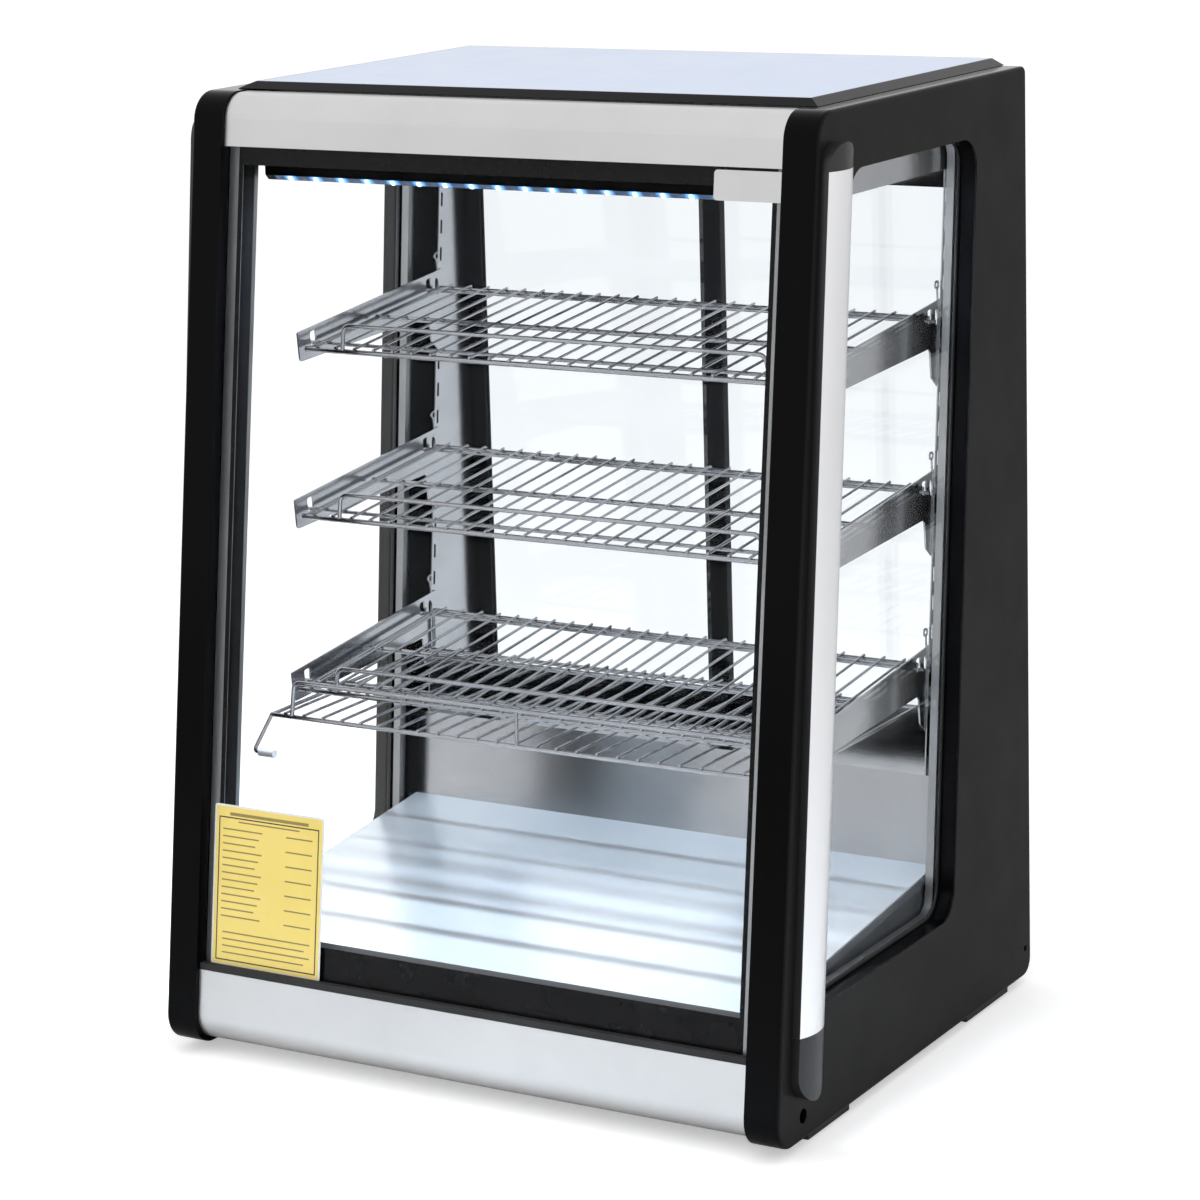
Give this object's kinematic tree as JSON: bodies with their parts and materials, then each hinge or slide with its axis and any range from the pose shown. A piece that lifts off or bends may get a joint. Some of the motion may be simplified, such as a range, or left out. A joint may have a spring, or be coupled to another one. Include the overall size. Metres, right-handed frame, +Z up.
{
  "type": "countertop refrigerated display case",
  "caption": "Countertop refrigerated display case with sloped front glass, side windows, wire shelves on slotted uprights and sliding rear glass doors.",
  "frame": {"origin": "on the counter, under the centre of the case", "axes": "+Z up, the sloped front glass faces -Y, +X is the right side seen from the front"},
  "size_m": [0.791, 0.6327, 1.0585],
  "materials": {
    "black_panel": "glossy moulded black",
    "clear_glass": "clear polished glass",
    "spacer_metal": "matt extruded spacer",
    "black_rubber": "matt black rubber",
    "satin_trim": "satin anodised extrusion",
    "pale_panel": "pale glossy panel",
    "stainless": "fine brushed stainless",
    "light_lens": "clear white lens",
    "dark_plastic": "satin dark moulding",
    "steel_sheet": "satin powder coat",
    "foam": "cut rigid foam",
    "chrome_wire": "bright plated wire",
    "grey_plastic": "soft grey moulding",
    "compressor_shell": "black enamel",
    "coil_metal": "bare fins",
    "motor_metal": "plated motor case",
    "copper_pipe": "bare copper tube",
    "key_plastic": "glossy key"
  },
  "bodies": {
    "cabinet": {"left_side_frame": "black_panel", "right_side_frame": "black_panel", "left_side_glass": "clear_glass", "right_side_glass": "clear_glass", "glass_spacers": "spacer_metal", "front_glass": "clear_glass", "front_gaskets": "black_rubber", "top_trim": "satin_trim", "bottom_trim": "satin_trim", "top_cover_rim": "black_panel", "top_cover_panel": "pale_panel", "header_rail": "black_panel", "ceiling_tray": "stainless", "light_bar": "black_panel", "light_points": "light_lens", "left_trim_bar": "satin_trim", "right_trim_bar": "satin_trim", "bar_end_caps": "dark_plastic", "base_tray": "steel_sheet", "base_insulation": "foam", "floor_pan": "stainless", "rear_riser": "stainless", "left_upright": "stainless", "right_upright": "stainless", "upper_brackets": "stainless", "middle_brackets": "stainless", "lower_brackets": "stainless", "bracket_clips": "chrome_wire", "door_tracks": "black_panel", "door_jambs": "black_panel", "rear_top_rail": "black_panel", "rear_cover": "steel_sheet", "compressor": "compressor_shell", "condenser": "coil_metal", "condenser_fan_motor": "motor_metal", "evaporator": "coil_metal", "evaporator_fan_motor": "motor_metal", "refrigerant_pipes": "copper_pipe", "drain_tube": "grey_plastic", "drain_tray": "grey_plastic", "controller": "dark_plastic", "switch_housings": "dark_plastic", "power_inlet": "dark_plastic", "feet": "black_rubber", "side_screws": "chrome_wire", "badge_plate": "satin_trim"},
    "left_door": {"left_door_frame": "black_panel", "left_door_glass": "clear_glass"},
    "right_door": {"right_door_frame": "black_panel", "right_door_glass": "clear_glass"},
    "top_shelf": {"upper_shelf": "chrome_wire"},
    "mid_shelf": {"middle_shelf": "chrome_wire"},
    "low_shelf": {"lower_shelf": "chrome_wire"},
    "hung_rack": {"hanging_rack": "chrome_wire", "rack_feet": "grey_plastic"},
    "condenser_fan": {"condenser_fan_blade": "dark_plastic"},
    "cooling_fan": {"evaporator_fan_blade": "dark_plastic"},
    "power_key": {"power_switch": "key_plastic"},
    "light_key": {"light_switch": "key_plastic"}
  },
  "joints": [
    {"name": "left_door_slide", "type": "slide", "parent": "cabinet", "child": "left_door", "axis": [1, 0, 0], "range_m": [0, 0.3]},
    {"name": "right_door_slide", "type": "slide", "parent": "cabinet", "child": "right_door", "axis": [-1, 0, 0], "range_m": [0, 0.3]},
    {"name": "upper_shelf_lift", "type": "slide", "parent": "cabinet", "child": "top_shelf", "axis": [0, 0, 1], "range_m": [0, 0.008]},
    {"name": "middle_shelf_lift", "type": "slide", "parent": "cabinet", "child": "mid_shelf", "axis": [0, 0, 1], "range_m": [0, 0.008]},
    {"name": "lower_shelf_lift", "type": "slide", "parent": "cabinet", "child": "low_shelf", "axis": [0, 0, 1], "range_m": [0, 0.008]},
    {"name": "rack_lift", "type": "slide", "parent": "cabinet", "child": "hung_rack", "axis": [0, 0, 1], "range_m": [0, 0.006]},
    {"name": "condenser_fan_spin", "type": "hinge", "parent": "cabinet", "child": "condenser_fan", "pos_m": [0.06, 0.2, 0.094], "axis": [0, 1, 0], "continuous": true},
    {"name": "cooling_fan_spin", "type": "hinge", "parent": "cabinet", "child": "cooling_fan", "pos_m": [0.19, 0.11, 1.0015], "axis": [1, 0, 0], "continuous": true},
    {"name": "power_switch_rock", "type": "hinge", "parent": "cabinet", "child": "power_key", "pos_m": [0.228, 0.304, 0.205], "axis": [1, 0, 0], "range_deg": [-8, 8]},
    {"name": "light_switch_rock", "type": "hinge", "parent": "cabinet", "child": "light_key", "pos_m": [0.274, 0.304, 0.205], "axis": [1, 0, 0], "range_deg": [-8, 8]}
  ]
}
